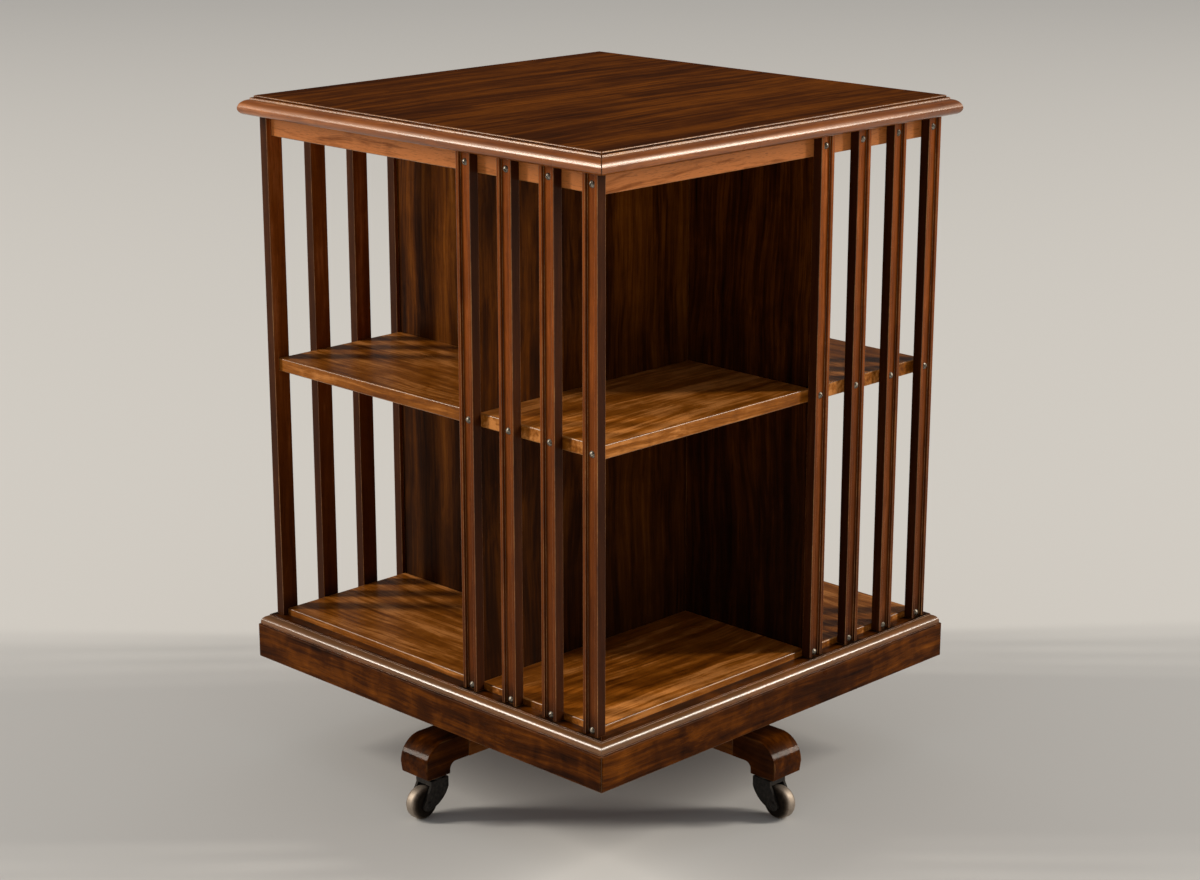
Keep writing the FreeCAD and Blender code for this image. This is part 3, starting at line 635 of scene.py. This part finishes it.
# Kinds of pieces: how wide, in millimetres, and how their arrises are softened, and their wood. A tone given
# four times is for the faces in order.
KINDS = {
    "top_board": (dict(width=1.0, edge=ARRIS), dict(
        streak=0.62, mottle=0.15, tone=0.31, rub_and_highlight=0.3, coat=0.08, coat_roughness=0.14, specular=0.0,
        pitch=0.85)),
    "top_moulding": (dict(width=0.9, edge=ARRIS), dict(
        streak=0.6, mottle=0.2, tone=0.62, rub_and_highlight=0.0, mitre=1.0, coat=0.6, coat_roughness=0.17, specular=0.4,
        pores=0.03, red=RED_LOG)),
    "plinth_moulding": (dict(width=0.8, edge=FINE_ARRIS), dict(
        streak=0.85, mottle=0.6, tone=(0.24, 0.22, 0.22, 0.19), rub_and_highlight=0.2, mitre=1.0, coat=0.85,
        coat_roughness=0.16, specular=0.05, rounds=OVOLO, shade_and_soil=ledge_dirt_and_shade)),
    # The rails' light tone is partly their wood and partly painted sheen.
    "top_rail": (dict(width=0.8, edge=ARRIS, long_only=True), dict(
        streak=1.3, mottle=0.35, tone=1.10, rub_and_highlight=0.6, coat=0.1, coat_roughness=0.25, specular=0.15,
        red=RED_LOG)),
    # The right shelf's lighter tone is painted light, for the light that falls into its bay.
    "shelf": (dict(width=1.2, edge=ARRIS, long_only=True), dict(
        streak=1.0, mottle=0.4, tone=(0.84, 0.74, 0.74, 0.74), rub_and_highlight=0.9, pitch=1.15, coat=0.03)),
    "floor_panel": (dict(width=1.2, edge=ARRIS, long_only=True), dict(
        streak=1.0, mottle=0.4, tone=0.72, rub_and_highlight=0.8, pitch=1.15, coat=0.03)),
    # The right partition's darker tone is painted shade, for the shade inside its bay.
    "partition": (dict(width=0.8, edge=ARRIS, long_only=True), dict(
        streak=0.9, mottle=0.2, tone=(0.30, 0.38, 0.38, 0.38), rub_and_highlight=0.3, coat=0.0, specular=0.05,
        shade_and_soil=bay_shade)),
    "slat": (dict(width=0.5, edge=ARRIS, long_only=True), dict(
        streak=0.6, mottle=0.2, tone=0.70, rub_and_highlight=0.25, coat=0.05, specular=0.08, red=REDDEST_LOG,
        shade_and_soil=slat_shade_and_dirt)),
    "leg": (dict(width=2.4, segments=4), dict(
        streak=0.6, mottle=0.4, tone=0.20, rub_and_highlight=0.3, coat=0.08, coat_roughness=0.07, specular=0.02)),
    "stretcher": (dict(width=0.8), dict(tone=0.38, rub_and_highlight=0.3, coat=0.2)),
    "hidden_board": (dict(width=0.5), dict(tone=0.40, rub_and_highlight=0.0, coat=0.1)),
}
IRON_EDGE, BRASS_EDGE = 0.4, 0.3
# Kinds of which each face has one, with their grain along the face
FACE_KINDS = ("top_moulding", "plinth_moulding", "top_rail", "shelf", "floor_panel")
# Seeds of the places in the log. The tens of a seed count the faces.
TOP_SEED, FACE_SEED, PARTITION_SEED, SLAT_SEED, LEG_SEED, STRETCHER_SEED, HIDDEN_SEED = (
    11, 100, 200, 300, 400, 500, 520)
TENS = 10
SCREW_SEED = 7


def dress_board(kind, node, grain, seed, k=0, name=None):
    edges, settings = KINDS[kind]
    dress(node, wood(node, grain, seed, k, name, **settings), **edges)


dress_board("top_board", "top_board", "y", TOP_SEED, name="wood_top")
for k, face in enumerate(FACES):
    along, outward = "yxyx"[k], "xyxy"[k]
    for i, kind in enumerate(FACE_KINDS):
        dress_board(kind, kind + "_" + face, along, FACE_SEED + TENS * k + i, k)
    dress_board("partition", "partition_" + face, "z", PARTITION_SEED + k, k)
    for i in SLATS:
        dress_board("slat", "slat_%s_%d" % (face, i), "z", SLAT_SEED + TENS * k + i, k)
    dress_board("leg", "leg_" + face, outward, LEG_SEED + k, k)
    dress("castor_wheel_" + face, wheel_metal("castor_wheel_" + face, k))
    dress("castor_horn_" + face, IRON, IRON_EDGE)
for i, (node, along) in enumerate((("stretcher_long_way", "x"), ("stretcher_cross_way", "y"))):
    dress_board("stretcher", node, along, STRETCHER_SEED + i)
for i, node in enumerate(("base_board", "pivot_block")):
    dress_board("hidden_board", node, "x", HIDDEN_SEED + i)
dress("spindle", IRON, IRON_EDGE)
dress("floor_bush", BRASS, BRASS_EDGE)


def screw_head(turn):
    """A round head with a slot, standing on its seat and looking along +X."""
    ball = (HEAD_RADIUS ** 2 + HEAD_DOME ** 2) / (2 * HEAD_DOME)
    head = bmesh.new()
    top = head.verts.new((0.0, 0.0, HEAD_DOME))
    last = None
    for ring in range(1, HEAD_RINGS + 1):
        out = HEAD_RADIUS * ring / HEAD_RINGS
        level = math.sqrt(ball ** 2 - out ** 2) - ball + HEAD_DOME
        now = [head.verts.new((out * math.cos(a), out * math.sin(a), level))
               for a in (2 * math.pi * i / HEAD_SIDES for i in range(HEAD_SIDES))]
        for i in range(HEAD_SIDES):
            j = (i + 1) % HEAD_SIDES
            head.faces.new((top, now[i], now[j]) if last is None else (last[i], now[i], now[j], last[j]))
        last = now
    for side in (-1, 1):
        cutting = head.verts[:] + head.edges[:] + head.faces[:]
        bmesh.ops.bisect_plane(head, geom=cutting, plane_co=(0, side * SLOT_WIDTH / 2, 0), plane_no=(0, 1, 0))
    strip = [f for f in head.faces if abs(f.calc_center_median().y) < SLOT_WIDTH / 2]
    sunk = bmesh.ops.extrude_face_region(head, geom=strip)
    bmesh.ops.delete(head, geom=strip, context="FACES_ONLY")
    for vert in (v for v in sunk["geom"] if isinstance(v, bmesh.types.BMVert)):
        vert.co.z = min(vert.co.z, HEAD_DOME - SLOT_DEPTH)
    bmesh.ops.transform(head, matrix=Matrix.Rotation(math.pi / 2, 4, "Y") @ Matrix.Rotation(turn, 4, "Z"),
                        verts=head.verts)
    return head


def slat_screws():
    """The slotted heads of the slats' screws, each turned its own way, seated where the solids are."""
    pick = random.Random(SCREW_SEED)
    whole = bmesh.new()
    for k in range(len(FACES)):
        for i in SLATS:
            near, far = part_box("slat_right_%d" % i)
            across = (near.y + far.y) / 2
            for level in SCREW_LEVELS:
                head = screw_head(pick.uniform(0, math.pi))
                bmesh.ops.transform(head, matrix=Matrix.Rotation(math.pi / 2 * k, 4, "Z")
                                    @ Matrix.Translation((SCREW_SEAT, across, level)), verts=head.verts)
                part = bpy.data.meshes.new("head")
                head.to_mesh(part)
                head.free()
                whole.from_mesh(part)
                bpy.data.meshes.remove(part)
    mesh = bpy.data.meshes.new("slotted_screws")
    whole.to_mesh(mesh)
    whole.free()
    for face in mesh.polygons:
        face.use_smooth = True
    mesh.set_sharp_from_angle(angle=math.radians(HEAD_EDGE))
    screws = bpy.data.objects.new("slotted_screws", mesh)
    scene.collection.objects.link(screws)
    mesh.materials.append(SCREW_BRASS)
    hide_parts("slat_screws")
    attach(screws, "turning_case")


slat_screws()

# Studio: lengths in metres, angles in degrees, power in watts. Azimuth 0 is in front, -Y.
FLOOR_TONE, FLOOR_ROUGHNESS, FLOOR_GLOSS, FLOOR_REACH = 0.62, 0.7, 0.1, 100.0
AMBIENT, BACKDROP = 0.35, 0.12
DAYLIGHT = (1.0, 0.985, 0.96, 1.0)
LAMPS = (("left_box", -46), ("right_box", 138))
LAMP_ELEVATION, LAMP_DISTANCE, LAMP_POWER = 28, 12.0, 1120
LAMP_SIZE = (1.2, 8.0)
LAMP_AIM = Vector((0.0, 0.0, 0.4))
WARM = (1.0, 0.92, 0.80)
CAMERA_PLACE = (1.9387, -1.9512, 1.1554)
CAMERA_YAW, CAMERA_PITCH = 44.82, 15.88
LENS, SENSOR = 76.16, 36.0
CLIP = (0.1, 200.0)


def studio_floor():
    mesh = bpy.data.meshes.new("floor")
    corners = ((-1, -1), (1, -1), (1, 1), (-1, 1))
    mesh.from_pydata([(x * FLOOR_REACH, y * FLOOR_REACH, 0) for x, y in corners], [], [(0, 1, 2, 3)])
    floor = bpy.data.objects.new("floor", mesh)
    scene.collection.objects.link(floor)
    material, _, shader = blank("pale_floor")
    shader["Base Color"].default_value = (FLOOR_TONE, FLOOR_TONE, FLOOR_TONE, 1.0)
    shader["Roughness"].default_value = FLOOR_ROUGHNESS
    shader["Specular IOR Level"].default_value = FLOOR_GLOSS
    mesh.materials.append(material)


def lamp(name, azimuth):
    """A tall softbox aimed at the object, far enough off to light the floor evenly."""
    turn, lift = math.radians(azimuth), math.radians(LAMP_ELEVATION)
    back = Vector((math.sin(turn) * math.cos(lift), -math.cos(turn) * math.cos(lift), math.sin(lift)))
    data = bpy.data.lights.new(name, "AREA")
    data.shape = "RECTANGLE"
    data.size, data.size_y = LAMP_SIZE
    data.energy = LAMP_POWER
    data.color = WARM
    thing = bpy.data.objects.new(name, data)
    scene.collection.objects.link(thing)
    thing.location = LAMP_AIM + back * LAMP_DISTANCE
    thing.rotation_mode = "QUATERNION"
    thing.rotation_quaternion = (-back).to_track_quat("-Z", "Y")


def studio_world():
    """Soft light from all sides, in front of a grey backdrop that the camera and reflections see."""
    world = bpy.data.worlds.new("studio")
    scene.world = world
    world.use_nodes = True
    net = Net(world.node_tree)
    ground = world.node_tree.nodes["Background"]
    path = net.node("LightPath").outputs
    seen = net.most(path["Is Camera Ray"], path["Is Glossy Ray"], path["Is Transmission Ray"])
    ground.inputs["Color"].default_value = DAYLIGHT
    net.feed(ground.inputs["Strength"], net.span(seen, 0.0, 1.0, AMBIENT, BACKDROP))


def camera():
    """The photograph's view, from a little above the top and towards the corner of two faces."""
    data = bpy.data.cameras.new("camera")
    thing = bpy.data.objects.new("camera", data)
    scene.collection.objects.link(thing)
    yaw, pitch = math.radians(CAMERA_YAW), math.radians(CAMERA_PITCH)
    ahead = Vector((-math.sin(yaw) * math.cos(pitch), math.cos(yaw) * math.cos(pitch), -math.sin(pitch)))
    thing.location = CAMERA_PLACE
    thing.rotation_mode = "QUATERNION"
    thing.rotation_quaternion = ahead.to_track_quat("-Z", "Y")
    data.sensor_width = SENSOR
    data.lens = LENS
    data.clip_start, data.clip_end = CLIP
    scene.camera = thing


studio_floor()
studio_world()
for name, azimuth in LAMPS:
    lamp(name, azimuth)
camera()
scene.view_settings.view_transform = "Standard"
